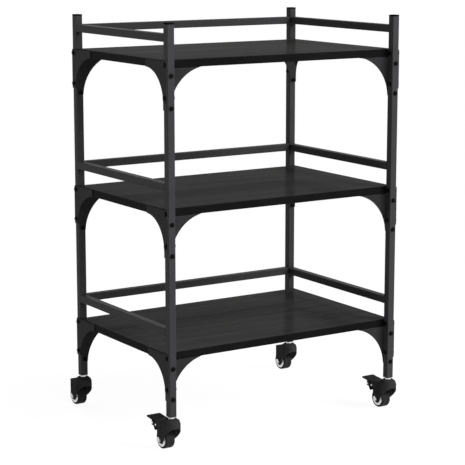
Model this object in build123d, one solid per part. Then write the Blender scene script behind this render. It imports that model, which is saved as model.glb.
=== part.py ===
from build123d import *
from math import asin, atan2, cos, degrees, hypot, pi, sin
import os

os.makedirs("parts", exist_ok=True)

# Square tube frame, in millimetres
tube = 16.0
tube_wall = 1.2
tube_corner = 1.5
frame_width = 567.0
frame_depth = 396.0
post_over_rail = 19.0
cap_flange = 2.0
cap_plug = 8.0
plug_clearance = 0.05

# Shelves and the guard rails over them
shelf_thickness = 16.0
shelf_pitch = 293.0
lowest_shelf = 114.0
rail_gap = 35.0

# Corner brackets of folded and welded sheet
sheet = 2.0
sheet_bend = 1.0
side_inset = 1.0
side_overlap = 1.0
side_radius = 67.0
side_rise = 14.4
side_end = 15.0
cross_radius = 86.8
cross_tuck = 1.0
cross_lift = 1.0
cross_cut = 3.8
seat_depth = 22.0

# Hexagon bolts and nuts through the posts, and the screws under the shelves
bolt_diameter = 5.0
bolt_clearance = 0.2
bolt_flats = 8.0
bolt_head = 2.8
nut_height = 2.7
bolt_spare = 0.5
side_bolt_rise = 7.0
side_bolt_foot = 9.9
cross_bolt_drop = 14.0
cross_bolt_foot = 5.0
screw_diameter = 4.0
screw_clearance = 0.1
screw_flats = 7.0
screw_head = 2.5
screw_bite = 11.0
screw_reach = 36.0
shank_sides = 8

# Caster wheels
wheel_diameter = 40.0
wheel_width = 22.0
hub_radius = 15.5
hub_recess_radius = 9.5
hub_recess = 3.0
hub_lip = 1.5
hub_boss_radius = 6.0
tyre_fit = 0.02
tread_chamfer = 2.0
tread_round = 2.5
axle_radius = 3.0
running_clearance = 0.05
axle_flats = 10.0
axle_head = 4.0
axle_nut = 5.0

# Caster forks, stems and swivels
caster_trail = 23.0
fork_width = 27.5
fork_sheet = 2.0
fork_rise = 47.0
cup_radius = 18.7
cup_neck_radius = 16.6
cup_neck_height = 6.5
cup_flat_radius = 11.5
cup_height = 10.5
cup_blend = 10.0
skirt_depth = 7.0
skirt_flat = 1.7
axle_boss = 8.5
leg_rear = 12.0
side_play = 0.3
stem_gap = 4.5
stem_radius = 4.0
stem_depth = 18.0
stem_flats = 12.0
swivel_radius = 3.5
swivel_gap = 0.2
swivel_flange = 9.0
flange_thickness = 2.5
washer_thickness = 1.5
socket_length = 22.0

# Brake pedals on the front casters
pivot_back = 17.0
pivot_rise = 26.1
ear_radius = 5.0
bridge_over = 2.0
pin_radius = 2.2
pin_end = 1.0
pedal_sheet = 2.0
pedal_wall = 1.5
pedal_width = 32.5
pedal_front = 3.0
pedal_knee = 18.0
pedal_reach = 33.5
pedal_front_rise = 9.8
pedal_knee_rise = 10.9
pedal_tip_rise = 12.6
pedal_corner = 3.0
wall_reach = 20.0
wall_drop = 5.0
shoe_back = 17.0
shoe_boss = 3.6
shoe_drop = 14.4
shoe_lean = 7.0
shoe_thickness = 4.0

# Places worked out from the sizes above, with the floor at z = 0
axle_z = wheel_diameter / 2
fork_top = axle_z + fork_rise
bridge_top = fork_top - cup_height
fork_under = fork_top - fork_sheet
skirt_z = bridge_top - skirt_depth
post_z = fork_top + stem_gap
post_x = frame_width / 2 - tube / 2
post_y = frame_depth / 2 - tube / 2
tube_bore = tube - 2 * tube_wall
cheek_in = fork_width / 2 - fork_sheet
side_low = side_rise - side_end - side_radius
cross_drop = cross_radius - cross_lift
cross_foot = cross_cut - cross_drop
pivot_y = caster_trail + pivot_back
pivot_z = axle_z + pivot_rise
front_reach = post_y + cup_radius
rear_reach = post_y + caster_trail + wheel_diameter / 2
middle_y = (rear_reach - front_reach) / 2

tiers = ["lower", "middle", "upper"]
shelf_z = [post_z + lowest_shelf + shelf_pitch * level for level in range(len(tiers))]
rail_rise = shelf_thickness + rail_gap
post_length = shelf_z[-1] + rail_rise + tube + post_over_rail - post_z
sides = {"left": -1, "right": 1}
ends = {"front": -1, "rear": 1}


def save(node, solids):
    """Write a node's solids, moved so that the origin is under the middle of the whole cart."""
    moved = [Pos(0, -middle_y, 0) * solid for solid in solids]
    export_step(Compound(children=moved) if len(moved) > 1 else moved[0], f"parts/{node}.step")


def at_corner(solid, side, end):
    """A solid made for the front left corner, mirrored to another corner."""
    if side > 0:
        solid = mirror(solid, Plane.YZ)
    if end > 0:
        solid = mirror(solid, Plane.XZ)
    return solid


def square_tube(length):
    """Hollow square tube along Z, standing on z = 0."""
    return extrude(RectangleRounded(tube, tube, tube_corner) - Rectangle(tube_bore, tube_bore), length)


def hexagon(flats):
    """Hexagon measured across its flats."""
    return RegularPolygon(flats / 2, 6, major_radius=False)


def shank(radius):
    """Outline of a thread, shank or hidden washer, drawn with flats inside its round."""
    return RegularPolygon(radius, shank_sides)


def bolt_places():
    """Where the bolts of a front left bracket start, with the shelf's underside at z = 0."""
    outside = -frame_width / 2 - sheet
    front = -frame_depth / 2
    places = []
    for z in (side_bolt_rise, side_low + side_bolt_foot):
        places.append(Plane((outside, -post_y, z), x_dir=(0, 1, 0), z_dir=(1, 0, 0)))
    for z in (-cross_bolt_drop, cross_foot + cross_bolt_foot):
        places.append(Plane((-post_x, front, z), x_dir=(1, 0, 0), z_dir=(0, 1, 0)))
    return places


def screw_place():
    """Where the shelf screw of a front left bracket meets the underside of its seat."""
    flat = (seat_depth + sheet + sheet_bend) / 2
    return Pos(-frame_width / 2 + tube + screw_reach, -frame_depth / 2 + tube + flat, -sheet)


bolt_grip = tube + sheet
bolt_reach = bolt_grip + nut_height + bolt_spare
punch = bolt_diameter + 2 * bolt_clearance


def bolt():
    """Hexagon bolt along Z with the underside of its head at z = 0."""
    head = extrude(hexagon(bolt_flats), -bolt_head)
    return head + extrude(shank(bolt_diameter / 2), bolt_reach)


def nut():
    """Hexagon nut at the far end of the bolt's grip."""
    ring = hexagon(bolt_flats) - shank(bolt_diameter / 2 + bolt_clearance)
    return Pos(0, 0, bolt_grip) * extrude(ring, nut_height)


def punched(solid, z):
    """A front left solid with the square bolt holes of the bracket under the shelf at height z."""
    for place in bolt_places():
        hole = place * extrude(Rectangle(punch, punch), bolt_grip)
        solid -= Pos(0, 0, z) * hole
    return solid


def bracket():
    """Front left bracket under a shelf at z = 0: a side plate, and a cross plate folded to a seat."""
    outside = -frame_width / 2
    post_back = -frame_depth / 2 + tube
    front = -frame_depth / 2 + side_inset
    end = post_back + side_radius - side_overlap
    side_edge = Polyline(
        (end - side_radius, side_low),
        (front, side_low),
        (front, side_rise),
        (end, side_rise),
        (end, side_rise - side_end),
    )
    side_arc = CenterArc((end, side_low), side_radius, 90, 90)
    side = extrude(Plane.YZ.offset(outside) * make_face([side_edge, side_arc]), -sheet)

    centre = outside + tube - cross_tuck + cross_radius
    toe_turn = asin(cross_cut / cross_radius)
    head_turn = asin(cross_drop / cross_radius)
    toe = centre - cross_radius * cos(toe_turn)
    head = centre - cross_radius * cos(head_turn)
    cross_edge = Polyline((head, 0), (outside, 0), (outside, cross_foot), (toe, cross_foot))
    turn = degrees(head_turn - toe_turn)
    cross_arc = CenterArc((centre, -cross_drop), cross_radius, 180 - degrees(head_turn), turn)
    cross = extrude(Plane.XZ * make_face([cross_edge, cross_arc]), frame_depth, both=True)

    fold = sheet + sheet_bend
    plate_edge = Polyline((0, -fold), (0, cross_foot), (sheet, cross_foot), (sheet, -fold))
    seat_edge = Polyline((fold, 0), (seat_depth, 0), (seat_depth, -sheet), (fold, -sheet))
    bends = [CenterArc((fold, -fold), radius, 90, 90) for radius in (fold, sheet_bend)]
    profile = Pos(post_back, 0) * make_face([plate_edge, seat_edge] + bends)
    folded = extrude(Plane.YZ.offset(outside) * profile, head - outside)

    screw_hole = screw_place() * extrude(shank(screw_diameter / 2 + screw_clearance), sheet)
    return punched(side + (folded & cross), 0) - screw_hole


def shelf_screw():
    """Hexagon headed wood screw up through the front left seat."""
    head = extrude(hexagon(screw_flats), -screw_head)
    return screw_place() * (head + extrude(shank(screw_diameter / 2), sheet + screw_bite))


def shelf():
    """Shelf board with its underside at z = 0 and a pilot hole for each screw."""
    board = Pos(0, 0, shelf_thickness / 2) * Box(frame_width, frame_depth - 2 * tube, shelf_thickness)
    pilot = screw_place() * extrude(shank(screw_diameter / 2 + screw_clearance), sheet + screw_bite)
    for side in sides.values():
        for end in ends.values():
            board -= at_corner(pilot, side, end)
    return board


def post():
    """Front left post with the holes for all its brackets."""
    solid = Pos(-post_x, -post_y, post_z) * square_tube(post_length)
    for z in shelf_z:
        solid = punched(solid, z)
    return solid


def post_cap():
    """Cap pressed into the top of the front left post."""
    plug = tube_bore - 2 * plug_clearance
    cap = extrude(RectangleRounded(tube, tube, tube_corner), cap_flange)
    cap += extrude(Rectangle(plug, plug), -cap_plug)
    return Pos(-post_x, -post_y, post_z + post_length) * cap


def stem_socket():
    """Threaded plug pressed into the foot of the front left post."""
    plug = tube_bore - 2 * plug_clearance
    ring = Rectangle(plug, plug) - shank(stem_radius + running_clearance)
    return Pos(-post_x, -post_y, post_z) * extrude(ring, socket_length)


def caster_stem():
    """Caster stem on its own axis: thread, hexagon collar, swivel shank and riveted flange."""
    collar_z = fork_top + swivel_gap
    flange_z = fork_under - swivel_gap - washer_thickness
    thread = Pos(0, 0, post_z) * extrude(shank(stem_radius), stem_depth)
    collar = Pos(0, 0, collar_z) * extrude(hexagon(stem_flats), post_z - collar_z)
    pivot = Pos(0, 0, flange_z) * extrude(Circle(swivel_radius), collar_z - flange_z)
    flange = Pos(0, 0, flange_z) * extrude(shank(swivel_flange), -flange_thickness)
    return thread + collar + pivot + flange


def swivel_washer():
    """Plain thrust washer that lies on the stem's flange."""
    ring = shank(swivel_flange) - Circle(swivel_radius + running_clearance)
    return Pos(0, 0, fork_under - swivel_gap - washer_thickness) * extrude(ring, washer_thickness)


def leg_outline(braked):
    """Side view of the fork: bridge, raked legs, axle bosses and, if braked, the pedal's ears."""
    start_y = skirt_flat - cup_radius
    across = caster_trail - start_y
    down = axle_z - skirt_z
    rake = atan2(down, across) - asin(axle_boss / hypot(across, down))
    touch = (caster_trail + axle_boss * sin(rake), axle_z - axle_boss * cos(rake))
    round_end = (caster_trail + leg_rear, axle_z)
    half_way = (rake - pi / 2) / 2
    round_low = (caster_trail + axle_boss * cos(half_way), axle_z + axle_boss * sin(half_way))
    boss = ThreePointArc(touch, round_low, round_end)
    edge = Polyline(
        round_end,
        (round_end[0], bridge_top),
        (-cup_radius, bridge_top),
        (-cup_radius, skirt_z),
        (start_y, skirt_z),
        touch,
    )
    outline = make_face([edge, boss])
    if braked:
        bridge_end = pivot_y + bridge_over
        ear = Polyline(
            (caster_trail, bridge_top),
            (caster_trail, pivot_z - ear_radius),
            (pivot_y, pivot_z - ear_radius),
            (bridge_end, pivot_z),
            (bridge_end, bridge_top),
            close=True,
        )
        outline += make_face(ear)
        outline += Pos(pivot_y, pivot_z) * Circle(ear_radius)
    return outline


def cup_plan(inset, rear):
    """Plan of the fork: a round cup in front that necks to two parallel cheeks behind."""
    half = fork_width / 2 - inset
    plan = Circle(cup_radius - inset) + Pos(0, rear / 2) * Rectangle(2 * half, rear)
    necks = [v for v in plan.vertices() if 0 < v.Y < rear - cup_blend]
    return fillet(necks, cup_blend + inset)


def fork(braked):
    """Pressed fork on the stem's axis, open behind and below, with a domed cup round the swivel."""
    rear = pivot_y + ear_radius if braked else caster_trail + leg_rear
    skin = extrude(cup_plan(0, rear), bridge_top)
    room = extrude(cup_plan(fork_sheet, rear + fork_sheet), bridge_top - fork_sheet)
    legs = (skin - room) & extrude(Plane.YZ * leg_outline(braked), fork_width + cup_radius, both=True)

    neck_z = bridge_top + cup_neck_height
    dome_edge = Polyline(
        (0, bridge_top - fork_sheet),
        (cup_neck_radius, bridge_top - fork_sheet),
        (cup_radius, bridge_top),
        (cup_neck_radius, neck_z),
        (cup_flat_radius, fork_top),
        (0, fork_top),
        (0, bridge_top - fork_sheet),
    )
    dome = revolve(Plane.XZ * make_face(dome_edge), Axis.Z)
    race_edge = Polyline(
        (0, bridge_top - 2 * fork_sheet),
        (cup_neck_radius, bridge_top - 2 * fork_sheet),
        (cup_flat_radius, fork_under),
        (0, fork_under),
        (0, bridge_top - 2 * fork_sheet),
    )
    race = revolve(Plane.XZ * make_face(race_edge), Axis.Z)
    solid = legs + dome - race - extrude(Circle(swivel_radius + running_clearance), fork_top)
    solid -= cross_bar(caster_trail, axle_z, axle_radius + running_clearance, fork_width)
    if braked:
        solid -= cross_bar(pivot_y, pivot_z, pin_radius + running_clearance, fork_width)
    return solid


def cross_bar(y, z, radius, length):
    """Round bar along X, centred on the caster's middle plane."""
    middle = Plane((0, y, z), x_dir=(0, 1, 0), z_dir=(1, 0, 0))
    return extrude(middle * Circle(radius), length / 2, both=True)


def axle():
    """Axle bolt with its head to the right, and the nut on its left end."""
    right = Plane((fork_width / 2, caster_trail, axle_z), x_dir=(0, 1, 0), z_dir=(1, 0, 0))
    left = Plane((-fork_width / 2, caster_trail, axle_z), x_dir=(0, 1, 0), z_dir=(-1, 0, 0))
    head = extrude(right * hexagon(axle_flats), axle_head)
    rod = extrude(right * Circle(axle_radius), -fork_width - axle_nut)
    ring = hexagon(axle_flats) - Circle(axle_radius + running_clearance)
    return [head + rod, extrude(left * ring, axle_nut)]


def turned(points):
    """Solid of revolution about the axle from points of distance along it and radius."""
    outline = Plane.XY * make_face(Polyline(points, close=True))
    return Pos(0, caster_trail, axle_z) * revolve(outline, Axis.X)


def both_ways(points):
    """A half outline from the middle outwards, completed by its mirror image."""
    return points + [(-x, r) for x, r in reversed(points)]


def wheel_hub():
    """Moulded wheel centre: a rim ring round a dished recess, with a boss up to the fork's cheeks."""
    half = wheel_width / 2
    floor = half - hub_recess
    boss = cheek_in - side_play
    bore = axle_radius + running_clearance
    return turned(
        both_ways(
            [
                (half, hub_radius),
                (half, hub_recess_radius + hub_lip),
                (floor, hub_recess_radius),
                (floor, hub_boss_radius),
                (boss, hub_boss_radius),
                (boss, bore),
            ]
        )
    )


def tyre():
    """Tread ring on the rim."""
    half = wheel_width / 2
    radius = wheel_diameter / 2
    return turned(
        both_ways(
            [
                (half - tread_chamfer, radius),
                (half, radius - tread_round),
                (half, hub_radius + tyre_fit),
            ]
        )
    )


def pedal_line(y):
    """Height of the pedal's top over its pivot, at a distance y behind the pivot."""
    if y < pedal_knee:
        part = (y - pedal_front) / (pedal_knee - pedal_front)
        return pedal_front_rise + part * (pedal_knee_rise - pedal_front_rise)
    part = (y - pedal_knee) / (pedal_reach - pedal_knee)
    return pedal_knee_rise + part * (pedal_tip_rise - pedal_knee_rise)


def brake_pedal():
    """Foot pedal of bent plate, with two side walls that hang on the pivot between the fork's ears."""
    stations = [pedal_front, pedal_knee, pedal_reach]
    top = [(y, pedal_line(y)) for y in stations]
    under = [(y, z - pedal_sheet) for y, z in reversed(top)]
    profile = Pos(pivot_y, pivot_z) * make_face(Polyline(top + under, close=True))
    plate = extrude(Plane.YZ * profile, pedal_width / 2, both=True)
    tip = plate.faces().sort_by(Axis.Y)[-1]
    plate = fillet(tip.edges().filter_by(Axis.X, reverse=True), pedal_corner)

    middle = pedal_sheet / 2
    wall_edge = [
        (0, -wall_drop),
        (wall_reach, -wall_drop),
        (wall_reach, pedal_line(wall_reach) - middle),
        (pedal_knee, pedal_knee_rise - middle),
        (pedal_front, pedal_front_rise - middle),
        (0, ear_radius),
    ]
    wall = Pos(pivot_y, pivot_z) * (make_face(Polyline(wall_edge, close=True)) + Circle(ear_radius))
    outer = cheek_in - side_play
    solid = plate
    for side in (-1, 1):
        solid += extrude(Plane.YZ.offset(side * outer) * wall, -side * pedal_wall)
    solid -= cross_bar(pivot_y, pivot_z, pin_radius + running_clearance, pedal_width)
    return solid - cross_bar(pivot_y + shoe_back, pivot_z, pin_radius + running_clearance, pedal_width)


def brake_shoe():
    """Shoe between the pedal's walls, whose lip swings onto the tread."""
    lip = shoe_back - shoe_lean
    edge = [
        (shoe_back - shoe_boss, 0),
        (lip - shoe_thickness / 2, -shoe_drop + shoe_thickness / 2),
        (lip, -shoe_drop),
        (lip + shoe_thickness / 2, -shoe_drop + shoe_thickness / 2),
        (shoe_back + shoe_boss, 0),
    ]
    outline = make_face(Polyline(edge, close=True)) + Pos(shoe_back, 0) * Circle(shoe_boss)
    outline -= Pos(shoe_back, 0) * Circle(pin_radius + running_clearance)
    half = cheek_in - side_play - pedal_wall - side_play
    return extrude(Plane.YZ * Pos(pivot_y, pivot_z) * outline, half, both=True)


# Frame
corner_post = post()
for end_name, end in ends.items():
    for side_name, side in sides.items():
        save(f"post_{end_name}_{side_name}", [at_corner(corner_post, side, end)])

corners = [(side, end) for end in ends.values() for side in sides.values()]
save("post_caps", [at_corner(post_cap(), side, end) for side, end in corners])
save("stem_sockets", [at_corner(stem_socket(), side, end) for side, end in corners])

side_rail = Rot(-90, 0, 0) * square_tube(frame_depth - 2 * tube)
rear_rail = Rot(0, 90, 0) * square_tube(frame_width - 2 * tube)
for tier, z in zip(tiers, shelf_z):
    height = z + rail_rise + tube / 2
    start_y = -frame_depth / 2 + tube
    start_x = -frame_width / 2 + tube
    save(f"rail_left_{tier}", [Pos(-post_x, start_y, height) * side_rail])
    save(f"rail_right_{tier}", [Pos(post_x, start_y, height) * side_rail])
    save(f"rail_rear_{tier}", [Pos(start_x, post_y, height) * rear_rail])

# Shelves, brackets and their fasteners
board = shelf()
corner_bracket = bracket()
corner_bolts = [place * bolt() for place in bolt_places()]
corner_nuts = [place * nut() for place in bolt_places()]
corner_screw = shelf_screw()
bolts = []
nuts = []
screws = []
for tier, z in zip(tiers, shelf_z):
    up = Pos(0, 0, z)
    save(f"shelf_{tier}", [up * board])
    for end_name, end in ends.items():
        for side_name, side in sides.items():
            save(f"bracket_{end_name}_{side_name}_{tier}", [up * at_corner(corner_bracket, side, end)])
            bolts += [up * at_corner(solid, side, end) for solid in corner_bolts]
            nuts += [up * at_corner(solid, side, end) for solid in corner_nuts]
            screws.append(up * at_corner(corner_screw, side, end))
save("frame_bolts", bolts)
save("frame_nuts", nuts)
save("shelf_screws", screws)

# Casters, all trailing to the rear, with brakes on the front pair
save("caster_stems", [Pos(side * post_x, end * post_y, 0) * caster_stem() for side, end in corners])
save("swivel_washers", [Pos(side * post_x, end * post_y, 0) * swivel_washer() for side, end in corners])
for end_name, end in ends.items():
    braked = end_name == "front"
    caster_fork = fork(braked)
    for side_name, side in sides.items():
        place = Pos(side * post_x, end * post_y, 0)
        corner = f"{end_name}_{side_name}"
        save(f"fork_{corner}", [place * caster_fork])
        save(f"axle_{corner}", [place * solid for solid in axle()])
        save(f"wheel_hub_{corner}", [place * wheel_hub()])
        save(f"tyre_{corner}", [place * tyre()])
        if braked:
            pivot = cross_bar(pivot_y, pivot_z, pin_radius, fork_width + 2 * pin_end)
            pin_length = 2 * (cheek_in - side_play + pin_end)
            shoe_pin = cross_bar(pivot_y + shoe_back, pivot_z, pin_radius, pin_length)
            save(f"brake_pedal_{side_name}", [place * brake_pedal()])
            save(f"brake_shoe_{side_name}", [place * brake_shoe()])
            save(f"pedal_pivot_{side_name}", [place * pivot])
            save(f"shoe_pin_{side_name}", [place * shoe_pin])
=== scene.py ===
import bpy
import bmesh
import math
from mathutils import Matrix, Vector


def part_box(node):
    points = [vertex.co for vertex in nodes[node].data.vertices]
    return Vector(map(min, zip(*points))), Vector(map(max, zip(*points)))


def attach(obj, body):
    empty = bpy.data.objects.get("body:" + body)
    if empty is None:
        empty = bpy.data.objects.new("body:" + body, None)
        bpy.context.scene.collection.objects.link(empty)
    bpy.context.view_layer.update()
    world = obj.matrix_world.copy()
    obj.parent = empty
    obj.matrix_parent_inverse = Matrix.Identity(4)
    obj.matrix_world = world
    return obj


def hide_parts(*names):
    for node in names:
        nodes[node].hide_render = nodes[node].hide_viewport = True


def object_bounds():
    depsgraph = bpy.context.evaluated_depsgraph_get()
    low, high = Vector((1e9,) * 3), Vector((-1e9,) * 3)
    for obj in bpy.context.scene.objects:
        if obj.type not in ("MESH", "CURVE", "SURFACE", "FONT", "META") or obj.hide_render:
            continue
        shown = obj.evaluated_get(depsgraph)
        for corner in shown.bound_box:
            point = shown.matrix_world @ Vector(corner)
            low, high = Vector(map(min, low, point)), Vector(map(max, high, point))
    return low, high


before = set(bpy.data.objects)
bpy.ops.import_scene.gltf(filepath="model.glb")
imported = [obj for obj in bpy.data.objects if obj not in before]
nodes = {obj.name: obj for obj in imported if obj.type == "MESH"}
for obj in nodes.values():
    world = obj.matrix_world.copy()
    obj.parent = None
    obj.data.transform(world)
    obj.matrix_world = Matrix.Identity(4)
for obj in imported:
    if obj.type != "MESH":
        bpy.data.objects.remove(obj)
cadLow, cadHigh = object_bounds()
corners = ("front_left", "front_right", "rear_left", "rear_right")
tiers = ("lower", "middle", "upper")
print("frame loaded:", len(nodes), "nodes")


# material helpers

def newMaterial(name):
    mat = bpy.data.materials.new(name)
    mat.use_nodes = True
    tree = mat.node_tree
    return mat, tree, tree.nodes["Principled BSDF"]


def addNode(tree, kind, inputs=None, **settings):
    node = tree.nodes.new(kind)
    for key, value in settings.items():
        setattr(node, key, value)
    for key, value in (inputs or {}).items():
        if isinstance(value, bpy.types.NodeSocket):
            tree.links.new(value, node.inputs[key])
        else:
            node.inputs[key].default_value = value
    return node


def place(tree, stretch=(1, 1, 1)):  # the piece's own coordinates in metres, stretched per axis
    coords = addNode(tree, "ShaderNodeTexCoord")
    mapped = addNode(tree, "ShaderNodeMapping", {"Vector": coords.outputs["Object"], "Scale": stretch})
    return mapped.outputs["Vector"]


def noise(tree, where, scale, detail=3.0, rough=0.55):
    node = addNode(tree, "ShaderNodeTexNoise", {
        "Vector": where, "Scale": scale, "Detail": detail, "Roughness": rough})
    return node.outputs["Fac"]


def spread(tree, value, low, high, fromLow=0.3, fromHigh=0.7):
    node = addNode(tree, "ShaderNodeMapRange", {
        "Value": value, "From Min": fromLow, "From Max": fromHigh, "To Min": low, "To Max": high})
    return node.outputs["Result"]


def math2(tree, operation, a, b):
    return addNode(tree, "ShaderNodeMath", {0: a, 1: b}, operation=operation).outputs[0]


def weighted(tree, a, shareA, b, shareB):
    return math2(tree, "ADD", math2(tree, "MULTIPLY", a, shareA), math2(tree, "MULTIPLY", b, shareB))


def mixColour(tree, factor, a, b):
    node = addNode(tree, "ShaderNodeMix", {"Factor": factor}, data_type="RGBA")
    for socket, value in ((node.inputs[6], a), (node.inputs[7], b)):
        if isinstance(value, bpy.types.NodeSocket):
            tree.links.new(value, socket)
        else:
            socket.default_value = (*value, 1)
    return node.outputs[2]


def bumped(tree, shader, height, strength, distance):
    bump = addNode(tree, "ShaderNodeBump", {"Height": height, "Strength": strength, "Distance": distance})
    tree.links.new(bump.outputs["Normal"], shader.inputs["Normal"])


# painted and moulded blacks share one recipe: clouds of shade, fine speckle, and a skin like orange peel
paintSkin = {"cloudShare": 0.6, "speckleShare": 0.4, "cloudDetail": 4, "fineDetail": 2, "peelStrength": 0.35}
blacks = {
    "framePowderCoat": {"dark": (0.041, 0.041, 0.043), "light": (0.056, 0.056, 0.059), "gloss": (0.42, 0.56),
                        "cloud": 9, "speckle": 1500, "peel": 950, "depth": 0.00012, "specular": 0.03},
    # bracket plates: the frame's black powder coat, painted darker to stand in for the shade the boards cast on them
    "bracketCoatWithPaintedShade": {"dark": (0.025, 0.025, 0.026), "light": (0.035, 0.035, 0.037), "gloss": (0.44, 0.58),
                          "cloud": 14, "speckle": 1500, "peel": 900, "depth": 0.00012, "specular": 0.025},
    "forkPaint": {"dark": (0.033, 0.033, 0.0345), "light": (0.046, 0.046, 0.048), "gloss": (0.45, 0.6),
                  "cloud": 40, "speckle": 2200, "peel": 700, "depth": 0.00005, "specular": 0.001},
    "pedalPaint": {"dark": (0.013, 0.013, 0.014), "light": (0.021, 0.021, 0.022), "gloss": (0.55, 0.7),
                   "cloud": 45, "speckle": 2200, "peel": 800, "depth": 0.00008, "specular": 0.02},
    "blackenedSteel": {"dark": (0.003, 0.003, 0.003), "light": (0.006, 0.006, 0.0063), "gloss": (0.36, 0.5),
                       "cloud": 90, "speckle": 3000, "peel": 1800, "depth": 0.00004, "specular": 0.025},
    "capPlastic": {"dark": (0.004, 0.004, 0.004), "light": (0.008, 0.008, 0.008), "gloss": (0.75, 0.9),
                   "cloud": 60, "speckle": 2600, "peel": 2600, "depth": 0.00008, "specular": 0.0},
    "shoeRubber": {"dark": (0.008, 0.008, 0.008), "light": (0.015, 0.015, 0.015), "gloss": (0.65, 0.82),
                   "cloud": 80, "speckle": 1800, "peel": 1500, "depth": 0.0001, "specular": 0.04},
    "treadRubber": {"dark": (0.020, 0.020, 0.021), "light": (0.031, 0.031, 0.032), "gloss": (0.5, 0.68),
                    "cloud": 70, "speckle": 1600, "peel": 1200, "depth": 0.0001, "specular": 0.05},
    # ribbed hub centre: near-black as painted shade of the recess and the fork's boss, the hub itself being light
    # grey
    "hubCentrePaintedShade": {"dark": (0.005, 0.005, 0.0055), "light": (0.010, 0.010, 0.011), "gloss": (0.4, 0.55),
                         "cloud": 60, "speckle": 2400, "peel": 2200, "depth": 0.00006, "specular": 0.05},
}


def blackFinish(name):
    look = blacks[name]
    mat, tree, shader = newMaterial(name)
    where = place(tree)
    clouds = noise(tree, where, look["cloud"], paintSkin["cloudDetail"])
    speckle = noise(tree, where, look["speckle"], paintSkin["fineDetail"])
    shade = weighted(tree, clouds, paintSkin["cloudShare"], speckle, paintSkin["speckleShare"])
    colour = mixColour(tree, spread(tree, shade, 0, 1), look["dark"], look["light"])
    tree.links.new(colour, shader.inputs["Base Color"])
    tree.links.new(spread(tree, clouds, *look["gloss"]), shader.inputs["Roughness"])
    shader.inputs["Specular IOR Level"].default_value = look["specular"]
    peel = noise(tree, where, look["peel"], paintSkin["fineDetail"])
    bumped(tree, shader, peel, paintSkin["peelStrength"], look["depth"])
    return mat


# black wood-grain laminate: long streaks along the board, fine pores, plain dark edge bands; the end bands are
# painted lighter as a painted sheen
board = {"dark": (0.0275, 0.027, 0.0265), "light": (0.055, 0.054, 0.053), "pore": (0.0195, 0.019, 0.0185),
         "bandDark": (0.0050, 0.0050, 0.0050), "bandLight": (0.0085, 0.0085, 0.0085),
         # end band colours: lighter than the front and back bands, a painted sheen
         "endSheenDark": (0.010, 0.010, 0.010), "endSheenLight": (0.016, 0.016, 0.016),
         "gloss": (0.6, 0.75), "specular": 0.0, "sealer": 0.06, "sealerGloss": 0.18,
         "bend": (1.6, 5, 1), "bendDetail": 2, "wander": 0.045,
         "bandShare": 0.55, "lineShare": 0.45, "shadeSpan": (0.36, 0.66),
         "streaks": {"bands": (1.1, 34, 4, 0.6), "lines": (4.5, 260, 5, 0.65), "pores": (16, 900, 2, 0.5)},
         "poreSpan": (0.60, 0.70), "endGrain": 420, "flatSpan": (0.55, 0.75), "endSpan": (0.6, 0.8),
         "lineHeight": 0.5, "relief": 0.3, "depth": 0.00012}


def boardLaminate():
    mat, tree, shader = newMaterial("boardLaminate")
    bend = noise(tree, place(tree, board["bend"]), 1.0, board["bendDetail"])
    warp = math2(tree, "MULTIPLY", bend, board["wander"])
    coords = addNode(tree, "ShaderNodeTexCoord").outputs["Object"]
    split = addNode(tree, "ShaderNodeSeparateXYZ", {"Vector": coords})
    across = math2(tree, "ADD", split.outputs["Y"], warp)  # the grain wanders a little across the board
    grainAt = addNode(tree, "ShaderNodeCombineXYZ", {
        "X": split.outputs["X"], "Y": across, "Z": split.outputs["Z"]}).outputs["Vector"]

    def streaks(name):
        along, crosswise, detail, rough = board["streaks"][name]
        stretched = addNode(tree, "ShaderNodeMapping", {"Vector": grainAt, "Scale": (along, crosswise, 1)})
        return noise(tree, stretched.outputs["Vector"], 1.0, detail, rough)

    bands, lines, pores = streaks("bands"), streaks("lines"), streaks("pores")
    shade = weighted(tree, bands, board["bandShare"], lines, board["lineShare"])
    top = mixColour(tree, spread(tree, shade, 0, 1, *board["shadeSpan"]), board["dark"], board["light"])
    poreMask = spread(tree, pores, 0, 1, *board["poreSpan"])
    top = mixColour(tree, poreMask, top, board["pore"])
    band = mixColour(tree, spread(tree, lines, 0, 1), board["bandDark"], board["bandLight"])
    # faces along the board's length take the lighter end colours: painted sheen, not a different edge band
    endGrain = spread(tree, noise(tree, coords, board["endGrain"]), 0, 1)
    end = mixColour(tree, endGrain, board["endSheenDark"], board["endSheenLight"])
    facing = addNode(tree, "ShaderNodeSeparateXYZ", {
        "Vector": addNode(tree, "ShaderNodeNewGeometry").outputs["True Normal"]}).outputs
    flat = spread(tree, math2(tree, "ABSOLUTE", facing["Z"], 0), 0, 1, *board["flatSpan"])
    endSheenMask = spread(tree, math2(tree, "ABSOLUTE", facing["X"], 0), 0, 1, *board["endSpan"])
    band = mixColour(tree, endSheenMask, band, end)
    tree.links.new(mixColour(tree, flat, band, top), shader.inputs["Base Color"])
    tree.links.new(spread(tree, lines, *board["gloss"]), shader.inputs["Roughness"])
    shader.inputs["Specular IOR Level"].default_value = board["specular"]
    shader.inputs["Coat Weight"].default_value = board["sealer"]  # thin sealer that mirrors posts and rails softly
    shader.inputs["Coat Roughness"].default_value = board["sealerGloss"]
    height = math2(tree, "SUBTRACT", math2(tree, "MULTIPLY", lines, board["lineHeight"]), poreMask)
    bumped(tree, shader, height, board["relief"], board["depth"])
    return mat


# bright zinc plate: brushed streaks, a faint blue-yellow cast and dulled patches
zincSkin = {"patches": 160, "patchDetail": 4, "brush": (300, 300, 4200), "castMost": 0.35, "castSpan": (0.5, 0.7),
            "relief": 0.15, "depth": 0.00004}
zinc = {
    "zincPlate": {"dark": (0.42, 0.43, 0.45), "light": (0.70, 0.71, 0.73), "cast": (0.66, 0.64, 0.57),
                  "gloss": (0.24, 0.42)},
    # stems: a brighter copy of the same zinc plate, painted light so the collar shows white
    "stemZincPaintedBright": {"dark": (0.82, 0.83, 0.84), "light": (0.96, 0.965, 0.97), "cast": (0.93, 0.92, 0.88),
                 "gloss": (0.3, 0.45)},
}


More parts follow.
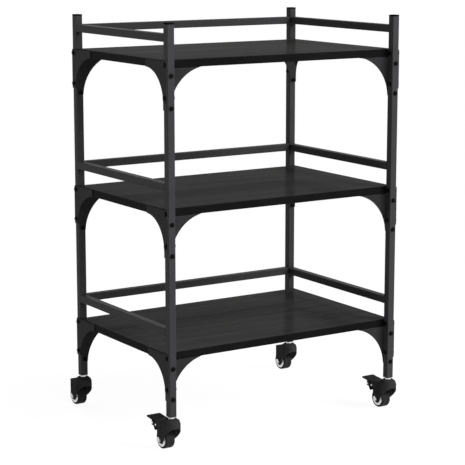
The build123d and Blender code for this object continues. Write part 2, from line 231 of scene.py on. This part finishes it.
def zincFinish(name):
    look = zinc[name]
    mat, tree, shader = newMaterial(name)
    where = place(tree)
    patches = noise(tree, where, zincSkin["patches"], zincSkin["patchDetail"])
    brushed = noise(tree, place(tree, zincSkin["brush"]), 1.0)
    colour = mixColour(tree, spread(tree, brushed, 0, 1), look["dark"], look["light"])
    cast = spread(tree, patches, 0, zincSkin["castMost"], *zincSkin["castSpan"])
    colour = mixColour(tree, cast, colour, look["cast"])
    tree.links.new(colour, shader.inputs["Base Color"])
    tree.links.new(spread(tree, patches, *look["gloss"]), shader.inputs["Roughness"])
    shader.inputs["Metallic"].default_value = 1.0
    bumped(tree, shader, brushed, zincSkin["relief"], zincSkin["depth"])
    return mat


# light grey moulded rim of the wheel, with a silver sheen
rim = {"dark": (0.84, 0.845, 0.85), "light": (0.93, 0.935, 0.94), "gloss": (0.24, 0.36), "specular": 1.0,
       "silver": 0.4, "cloud": 110, "cloudDetail": 4, "skin": 2400, "skinDetail": 2, "relief": 0.2, "depth": 0.00005}


def rimPlastic():
    mat, tree, shader = newMaterial("rimPlastic")
    where = place(tree)
    clouds = noise(tree, where, rim["cloud"], rim["cloudDetail"])
    colour = mixColour(tree, spread(tree, clouds, 0, 1), rim["dark"], rim["light"])
    tree.links.new(colour, shader.inputs["Base Color"])
    tree.links.new(spread(tree, clouds, *rim["gloss"]), shader.inputs["Roughness"])
    shader.inputs["Specular IOR Level"].default_value = rim["specular"]
    shader.inputs["Metallic"].default_value = rim["silver"]
    bumped(tree, shader, noise(tree, where, rim["skin"], rim["skinDetail"]), rim["relief"], rim["depth"])
    return mat


finishes = {name: blackFinish(name) for name in blacks}
finishes["boardLaminate"] = boardLaminate()
finishes.update((name, zincFinish(name)) for name in zinc)
finishes["rimPlastic"] = rimPlastic()
print("finishes made:", len(finishes))


# mesh helpers

def circle(radius, along, count):
    return [(radius * math.cos(t), radius * math.sin(t), along)
            for t in (2 * math.pi * i / count for i in range(count))]


def hexRadius(flats, angle):
    return flats / 2 / math.cos((angle + math.pi / 6) % (math.pi / 3) - math.pi / 6)


def hexRing(flats, along, count, chamferFrom=None, slope=0.0):  # a chamfered ring dips where the corners stand out
    ring = []
    for i in range(count):
        angle = 2 * math.pi * i / count
        radius = hexRadius(flats, angle)
        dip = 0.0 if chamferFrom is None else (radius - chamferFrom) * slope
        ring.append((radius * math.cos(angle), radius * math.sin(angle), along + dip))
    return ring


def skin(rings, closed=False):  # faces over a stack of rings; closed joins the last ring to the first
    count = len(rings[0])
    verts = [v for ring in rings for v in ring]
    faces = []
    steps = len(rings) if closed else len(rings) - 1
    for k in range(steps):
        upper = (k + 1) % len(rings)
        for i in range(count):
            j = (i + 1) % count
            faces.append((k * count + i, k * count + j, upper * count + j, upper * count + i))
    if not closed:
        faces.append(tuple(reversed(range(count))))
        faces.append(tuple(range((len(rings) - 1) * count, len(rings) * count)))
    return verts, faces


def alongAxis(origin, direction):  # turns a stack's own Z to a direction and moves it to its place
    return Matrix.Translation(origin) @ Vector(direction).to_track_quat("Z", "Y").to_matrix().to_4x4()


def build(name, parts, body, materials, crease=32):  # parts: (verts, faces, matrix, material index)
    verts, faces, indexes = [], [], []
    for partVerts, partFaces, matrix, index in parts:
        base = len(verts)
        verts.extend(matrix @ Vector(v) for v in partVerts)
        faces.extend(tuple(base + i for i in face) for face in partFaces)
        indexes.extend([index] * len(partFaces))
    mesh = bpy.data.meshes.new(name)
    mesh.from_pydata(verts, [], faces)
    for material in materials:
        mesh.materials.append(finishes[material])
    mesh.polygons.foreach_set("material_index", indexes)
    mesh.update()
    shape = bmesh.new()
    shape.from_mesh(mesh)
    bmesh.ops.recalc_face_normals(shape, faces=shape.faces)
    shape.to_mesh(mesh)
    shape.free()
    mesh.shade_smooth()
    mesh.set_sharp_from_angle(angle=math.radians(crease))
    piece = bpy.data.objects.new(name, mesh)
    bpy.context.scene.collection.objects.link(piece)
    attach(piece, body)
    return piece


sameSpot = 0.000001  # metres within which two vertices are one


def islands(node):  # boxes of the separate solids that share one node
    shape = bmesh.new()
    shape.from_mesh(nodes[node].data)
    bmesh.ops.remove_doubles(shape, verts=shape.verts, dist=sameSpot)
    shape.verts.ensure_lookup_table()
    seen = set()
    boxes = []
    for start in shape.verts:
        if start.index in seen:
            continue
        seen.add(start.index)
        reach = [start]
        for vert in reach:
            for edge in vert.link_edges:
                other = edge.other_vert(vert)
                if other.index not in seen:
                    seen.add(other.index)
                    reach.append(other)
        spots = [v.co for v in reach]
        boxes.append((Vector(map(min, *spots)), Vector(map(max, *spots))))
    shape.free()
    return boxes


def longAxis(low, high):
    size = high - low
    return max(range(3), key=lambda i: size[i])


# bolts and nuts of the frame, with chamfered hexagons
hexBolt = {"flats": 0.0085, "head": 0.0028, "shank": 0.0025, "crown": 0.0040, "slope": 0.55, "point": 0.0005,
           "sides": 36}
hexNut = {"flats": 0.008, "bore": 0.00252, "crown": 0.0037, "slope": 0.55, "sides": 36}


def boltRings(look, reach):
    n = look["sides"]
    top = -look["head"]
    return [circle(look["crown"], top, n),
            hexRing(look["flats"], top, n, look["crown"], look["slope"]),
            hexRing(look["flats"], 0, n),
            circle(look["shank"], 0, n),
            circle(look["shank"], reach - look["point"], n),
            circle(look["shank"] - look["point"], reach, n)]


def nutRings(look, height):
    n = look["sides"]
    return [circle(look["crown"], 0, n),
            hexRing(look["flats"], 0, n, look["crown"], look["slope"]),
            hexRing(look["flats"], height, n, look["crown"], -look["slope"]),
            circle(look["crown"], height, n),
            circle(look["bore"], height, n),
            circle(look["bore"], 0, n)]


middle = (cadLow + cadHigh) / 2


def outward(axis, centre):  # unit step along an axis, away from the cart's middle
    step = Vector((0, 0, 0))
    step[axis] = 1 if centre[axis] > middle[axis] else -1
    return step


def frameBolts():
    parts = []
    for low, high in islands("frame_bolts"):
        axis = longAxis(low, high)
        centre = (low + high) / 2
        out = outward(axis, centre)
        half = (high[axis] - low[axis]) / 2
        seat = centre + out * (half - hexBolt["head"])
        verts, faces = skin(boltRings(hexBolt, 2 * half - hexBolt["head"]))
        parts.append((verts, faces, alongAxis(seat, -out), 0))
    piece = build("frame_bolts_hex", parts, "frame", ["blackenedSteel"])
    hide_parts("frame_bolts")
    return len(parts)


def frameNuts():
    parts = []
    for low, high in islands("frame_nuts"):
        size = high - low
        axis = min(range(3), key=lambda i: size[i])
        centre = (low + high) / 2
        out = outward(axis, centre)
        verts, faces = skin(nutRings(hexNut, size[axis]), closed=True)
        parts.append((verts, faces, alongAxis(centre + out * size[axis] / 2, -out), 0))
    piece = build("frame_nuts_hex", parts, "frame", ["blackenedSteel"])
    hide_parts("frame_nuts")
    return len(parts)


print("frame bolts:", frameBolts(), "nuts:", frameNuts())

# screws under the boards: hexagon head, straight shank and a drawn-in point
woodScrew = {"flats": 0.007, "head": 0.0025, "shank": 0.002, "crown": 0.0032, "slope": 0.5, "point": 0.0005,
             "sides": 30}


def shelfScrews():
    parts = []
    for low, high in islands("shelf_screws"):
        centre = (low + high) / 2
        seat = Vector((centre.x, centre.y, low.z + woodScrew["head"]))
        verts, faces = skin(boltRings(woodScrew, high.z - seat.z))
        parts.append((verts, faces, alongAxis(seat, (0, 0, 1)), 0))
    piece = build("shelf_screws_hex", parts, "frame", ["blackenedSteel"])
    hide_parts("shelf_screws")


shelfScrews()

# caps on the posts: a plug, a thin skirt round the tube's end and a top with softened edges
postCap = {"grow": 0.00015, "skirt": 0.0008, "wall": 0.00013, "round": 0.0006, "roundSteps": 3, "corner": 0.0017,
           "plug": 0.0066, "plugCorner": 0.0008, "cornerSteps": 5, "crease": 50}


def squareRing(half, corner, along):
    ring = []
    for k in range(4):
        turn = math.pi / 2 * k
        for i in range(postCap["cornerSteps"] + 1):
            angle = math.pi / 2 * i / postCap["cornerSteps"]
            x = half - corner + corner * math.cos(angle)
            y = half - corner + corner * math.sin(angle)
            ring.append((x * math.cos(turn) - y * math.sin(turn), x * math.sin(turn) + y * math.cos(turn), along))
    return ring


def postCaps():
    parts = []
    for low, high in islands("post_caps"):
        centre = (low + high) / 2
        half = (high.x - low.x) / 2 + postCap["grow"]
        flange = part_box("post_front_left")[1].z - high.z  # underside of the flange, below the cap's top
        corner, edge = postCap["corner"], postCap["round"]
        plug, plugCorner = postCap["plug"], postCap["plugCorner"]
        inside, hem = half - postCap["wall"], flange - postCap["skirt"]
        rings = [squareRing(plug, plugCorner, low.z - high.z), squareRing(plug, plugCorner, flange),
                 squareRing(inside, corner, flange), squareRing(inside, corner, hem), squareRing(half, corner, hem)]
        for i in range(postCap["roundSteps"] + 1):
            angle = math.pi / 2 * i / postCap["roundSteps"]
            shrink = edge * (1 - math.cos(angle))
            rings.append(squareRing(half - shrink, corner - shrink, edge * (math.sin(angle) - 1)))
        verts, faces = skin(rings)
        parts.append((verts, faces, Matrix.Translation((centre.x, centre.y, high.z)), 0))
    piece = build("post_caps_moulded", parts, "frame", ["capPlastic"], postCap["crease"])
    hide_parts("post_caps")
    return len(parts)


print("post caps:", postCaps())

# caster wheels: rounded tread on a light rim with a ribbed centre coloured near-black as painted shade of the recess
# and the fork's boss
wheel = {"rim": 0.0159, "recess": 0.0095, "lip": 0.0007, "proud": 0.0005, "dish": 0.003, "boss": 0.006,
         "bore": 0.00305, "edge": 0.0004, "fit": 0.00002, "web": 0.0006, "bossFoot": 0.0008, "bossStep": 0.0002,
         "shoulder": 0.003, "shoulderSteps": 5, "seam": 0.00025, "sides": 72,
         "ribs": 6, "ribWidth": 0.0012, "ribTaper": 0.7, "ribFoot": 0.0008, "ribInset": (0.0002, 0.00005),
         "ribRise": (0.0021, 0.0008)}


def turnedRings(points, count):
    return [circle(radius, along, count) for along, radius in points]


def treadPoints(half, radius):  # half outline from the middle of the tread to its inner edge
    points = [(0, radius - wheel["seam"]), (wheel["seam"] * 2, radius)]
    turn = wheel["shoulder"]
    for i in range(wheel["shoulderSteps"] + 1):
        angle = math.pi / 2 * i / wheel["shoulderSteps"]
        points.append((half - turn + turn * math.sin(angle), radius - turn + turn * math.cos(angle)))
    points.append((half, wheel["rim"] + wheel["fit"]))
    return points


def wheelTread(corner):
    low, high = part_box("tyre_" + corner)
    centre = (low + high) / 2
    half = treadPoints((high.x - low.x) / 2, (high.z - low.z) / 2)
    outline = [(-a, r) for a, r in reversed(half[1:])] + half
    verts, faces = skin(turnedRings(outline, wheel["sides"]), closed=True)
    piece = build("tread_" + corner, [(verts, faces, alongAxis(centre, (1, 0, 0)), 0)], "wheel_" + corner,
                  ["treadRubber"])
    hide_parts("tyre_" + corner)


def wheelCentre(corner):
    low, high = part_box("wheel_hub_" + corner)
    tyreLow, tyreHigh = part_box("tyre_" + corner)
    centre = (low + high) / 2
    half = (tyreHigh.x - tyreLow.x) / 2
    bossEnd = (high.x - low.x) / 2
    floor = half - wheel["dish"]
    edge, boss, web = wheel["edge"], wheel["boss"], floor - wheel["web"]
    outer = [(half - edge, wheel["rim"]), (half, wheel["rim"] - edge),
             (half + wheel["proud"], wheel["recess"] + wheel["lip"] + edge),
             (half + wheel["proud"] - edge, wheel["recess"] + wheel["lip"]),
             (floor, wheel["recess"])]
    outline = [(-a, r) for a, r in reversed(outer)] + outer
    turn = alongAxis(centre, (1, 0, 0))
    rimVerts, rimFaces = skin(turnedRings(outline, wheel["sides"]), closed=True)
    inner = [(web, wheel["recess"] - wheel["fit"]), (web, boss + wheel["bossFoot"]),
             (floor + wheel["bossStep"], boss), (bossEnd - edge, boss), (bossEnd, boss - edge),
             (bossEnd, wheel["bore"])]
    outline = [(-a, r) for a, r in reversed(inner)] + inner
    webVerts, webFaces = skin(turnedRings(outline, wheel["sides"]), closed=True)
    parts = [(rimVerts, rimFaces, turn, 0), (webVerts, webFaces, turn, 1)]
    for side in (-1, 1):
        for k in range(wheel["ribs"]):
            spin = Matrix.Rotation(2 * math.pi * k / wheel["ribs"], 4, "Z")
            parts.append((*rib(side, floor), turn @ spin, 1))
    piece = build("wheel_centre_" + corner, parts, "wheel_" + corner,
                  ["rimPlastic", "hubCentrePaintedShade"])
    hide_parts("wheel_hub_" + corner)


def rib(side, floor):  # a low radial rib that tapers from the boss to the rim
    foot = wheel["ribWidth"] / 2
    crest = foot * wheel["ribTaper"]
    base = side * (floor - wheel["ribFoot"])
    rings = []
    for reach, inset, rise in zip((wheel["boss"], wheel["recess"]), wheel["ribInset"], wheel["ribRise"]):
        radius = reach - inset
        top = side * (floor - wheel["web"] + rise)
        rings.append([(radius, -foot, base), (radius, foot, base), (radius, crest, top), (radius, -crest, top)])
    return skin(rings)


for corner in corners:
    wheelTread(corner)
    wheelCentre(corner)
print("wheels dressed:", len(corners))

# axle bolts with nuts, and the rivets of the brake
axleBolt = {"flats": 0.010, "head": 0.004, "shank": 0.003, "crown": 0.0047, "slope": 0.5, "point": 0.0005,
            "sides": 36}
axleNut = {"flats": 0.010, "bore": 0.00302, "crown": 0.0047, "slope": 0.5, "sides": 36}


def casterAxle(corner):
    solids = sorted(islands("axle_" + corner), key=lambda box: box[1].x - box[0].x)
    (nutLow, nutHigh), (rodLow, rodHigh) = solids
    centre = (rodLow + rodHigh) / 2
    seat = Vector((rodHigh.x - axleBolt["head"], centre.y, centre.z))
    boltVerts, boltFaces = skin(boltRings(axleBolt, seat.x - rodLow.x))
    nutVerts, nutFaces = skin(nutRings(axleNut, nutHigh.x - nutLow.x), closed=True)
    nutSeat = Vector((nutLow.x, centre.y, centre.z))
    parts = [(boltVerts, boltFaces, alongAxis(seat, (-1, 0, 0)), 0),
             (nutVerts, nutFaces, alongAxis(nutSeat, (1, 0, 0)), 0)]
    piece = build("axle_bolt_" + corner, parts, "caster_" + corner, ["zincPlate"])
    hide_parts("axle_" + corner)


rivet = {"dome": 0.0009, "crown": 0.15, "steps": 4, "sides": 28}  # crown: share of the radius left flat on top


def rivetPin(node, body):
    low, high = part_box(node)
    centre = (low + high) / 2
    half, radius = (high.x - low.x) / 2, (high.z - low.z) / 2
    points = []
    for i in range(rivet["steps"] + 1):
        angle = math.pi / 2 * i / rivet["steps"]
        points.append((half - rivet["dome"] * (1 - math.sin(angle)), radius * max(math.cos(angle), rivet["crown"])))
    outline = [(-a, r) for a, r in reversed(points)] + points
    verts, faces = skin(turnedRings(outline, rivet["sides"]))
    piece = build(node + "_rivet", [(verts, faces, alongAxis(centre, (1, 0, 0)), 0)], body,
                  ["zincPlate"])
    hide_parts(node)


for corner in corners:
    casterAxle(corner)
for side in ("left", "right"):
    rivetPin("pedal_pivot_" + side, "caster_front_" + side)
    rivetPin("shoe_pin_" + side, "pedal_" + side)
print("axles and rivets dressed")

# finishes and eased edges of the pieces that keep their own solids
edges = {"tube": 0.0003, "sheet": 0.0003, "board": 0.0006, "fork": 0.0004, "pedal": 0.0004,
         "stem": 0.0003, "shoe": 0.0004}
easing = {"weld": 0.000002, "flatAngle": 0.5, "sharpAngle": 40, "segments": 2}


def dress(node, material, ease, domed=False):  # domed pieces share their normals by corner, flat ones by area
    piece = nodes[node]
    piece.data.materials.clear()
    piece.data.materials.append(finishes[material])
    weld = piece.modifiers.new("weld", "WELD")
    weld.merge_threshold = easing["weld"]
    planes = piece.modifiers.new("planes", "DECIMATE")
    planes.decimate_type = "DISSOLVE"
    planes.angle_limit = math.radians(easing["flatAngle"])
    bevel = piece.modifiers.new("eased", "BEVEL")
    bevel.width = ease
    bevel.segments = easing["segments"]
    bevel.limit_method = "ANGLE"
    bevel.angle_limit = math.radians(easing["sharpAngle"])
    bevel.harden_normals = False
    smooth = piece.modifiers.new("normals", "WEIGHTED_NORMAL")
    smooth.mode = "CORNER_ANGLE" if domed else "FACE_AREA"
    smooth.keep_sharp = False


for corner in corners:
    dress("post_" + corner, "framePowderCoat", edges["tube"])
    dress("fork_" + corner, "forkPaint", edges["fork"], domed=True)
    for tier in tiers:
        dress(f"bracket_{corner}_{tier}", "bracketCoatWithPaintedShade", edges["sheet"])
for tier in tiers:
    dress("shelf_" + tier, "boardLaminate", edges["board"])
    for side in ("left", "right", "rear"):
        dress(f"rail_{side}_{tier}", "framePowderCoat", edges["tube"])
for side in ("left", "right"):
    dress("brake_pedal_" + side, "pedalPaint", edges["pedal"])
    dress("brake_shoe_" + side, "shoeRubber", edges["shoe"])
dress("stem_sockets", "capPlastic", edges["stem"])
dress("caster_stems", "stemZincPaintedBright", edges["stem"])
dress("swivel_washers", "zincPlate", edges["stem"])
print("solids dressed")

# studio: pale floor that keeps the shadow, white surroundings, soft lamps
studio = {"floorSize": 160.0, "floorColour": (0.9, 0.9, 0.9), "shadowShare": 0.17, "shadowNear": 0.5,
          "shadowFar": 1.5, "floorWhite": 1.12, "ambient": 0.1}
lamps = {
    "keyLamp": {"at": (4.6, -5.0, 4.2), "size": 3.4, "watts": 453},
    "frontLamp": {"at": (0.3, -6.5, 3.0), "size": 3.4, "watts": 145},
    "leftLamp": {"at": (-5.2, 4.6, 1.0), "size": 3.0, "watts": 67},
    "rightLamp": {"at": (6.5, 2.0, 1.4), "size": 3.0, "watts": 93},
    "topLamp": {"at": (-0.2, 0.3, 3.9), "size": 2.8, "watts": 13},
    "backLamp": {"at": (-0.5, 4.5, 4.5), "size": 3.4, "watts": 73},
}


def whiteSeen(tree):  # one where the camera, a gloss or a transmission ray looks
    ray = addNode(tree, "ShaderNodeLightPath").outputs
    seen = math2(tree, "MAXIMUM", ray["Is Camera Ray"], ray["Is Glossy Ray"])
    return math2(tree, "MAXIMUM", seen, ray["Is Transmission Ray"])


def makeFloor():
    half = studio["floorSize"] / 2
    mesh = bpy.data.meshes.new("floor")
    mesh.from_pydata([(-half, -half, 0), (half, -half, 0), (half, half, 0), (-half, half, 0)], [], [(0, 1, 2, 3)])
    mat = bpy.data.materials.new("paleFloor")
    mat.use_nodes = True
    tree = mat.node_tree
    tree.nodes.clear()
    diffuse = addNode(tree, "ShaderNodeBsdfDiffuse", {"Color": (*studio["floorColour"], 1)})
    coords = addNode(tree, "ShaderNodeTexCoord").outputs["Object"]
    away = addNode(tree, "ShaderNodeVectorMath", {0: coords}, operation="LENGTH").outputs["Value"]
    plain = spread(tree, away, 1 - studio["shadowShare"], 1, studio["shadowNear"], studio["shadowFar"])
    share = math2(tree, "MULTIPLY", whiteSeen(tree), plain)
    # near the cart the glow makes up for the floor's own shade: lit floor comes to white, shadow stays below it
    whiteness = spread(tree, away, studio["floorWhite"], 1, studio["shadowNear"], studio["shadowFar"])
    glow = addNode(tree, "ShaderNodeEmission", {"Color": (1, 1, 1, 1), "Strength": whiteness})
    mix = addNode(tree, "ShaderNodeMixShader", {0: share, 1: diffuse.outputs[0], 2: glow.outputs[0]})
    out = addNode(tree, "ShaderNodeOutputMaterial")
    tree.links.new(mix.outputs[0], out.inputs["Surface"])
    mesh.materials.append(mat)
    floor = bpy.data.objects.new("floor", mesh)
    bpy.context.scene.collection.objects.link(floor)


def makeWorld():
    world = bpy.data.worlds.new("studioWorld")
    world.use_nodes = True
    tree = world.node_tree
    tree.nodes.clear()
    ambient = addNode(tree, "ShaderNodeBackground", {"Color": (1, 1, 1, 1), "Strength": studio["ambient"]})
    white = addNode(tree, "ShaderNodeBackground", {"Color": (1, 1, 1, 1), "Strength": 1.0})
    mix = addNode(tree, "ShaderNodeMixShader", {0: whiteSeen(tree), 1: ambient.outputs[0], 2: white.outputs[0]})
    out = addNode(tree, "ShaderNodeOutputWorld")
    tree.links.new(mix.outputs[0], out.inputs["Surface"])
    bpy.context.scene.world = world


def makeLamps():
    for name, look in lamps.items():
        data = bpy.data.lights.new(name, "AREA")
        data.shape = "SQUARE"
        data.size = look["size"]
        data.energy = look["watts"]
        lamp = bpy.data.objects.new(name, data)
        lamp.location = look["at"]
        lamp.rotation_euler = (middle - Vector(look["at"])).to_track_quat("-Z", "Y").to_euler()
        bpy.context.scene.collection.objects.link(lamp)


# the camera is fitted to the outline of the cart in the photo
camera = {"at": (-1.9248, -2.9906, 1.0455), "yaw": 32.782, "pitch": 10.450, "lens": 129.16, "sensor": 36}


def makeCamera():
    data = bpy.data.cameras.new("camera")
    data.lens = camera["lens"]
    data.sensor_width = camera["sensor"]
    eye = bpy.data.objects.new("camera", data)
    eye.location = camera["at"]
    eye.rotation_euler = (math.radians(90 - camera["pitch"]), 0, math.radians(-camera["yaw"]))
    bpy.context.scene.collection.objects.link(eye)
    bpy.context.scene.camera = eye


makeFloor()
makeWorld()
makeLamps()
makeCamera()
bpy.context.scene.view_settings.view_transform = "Standard"
print("studio ready")
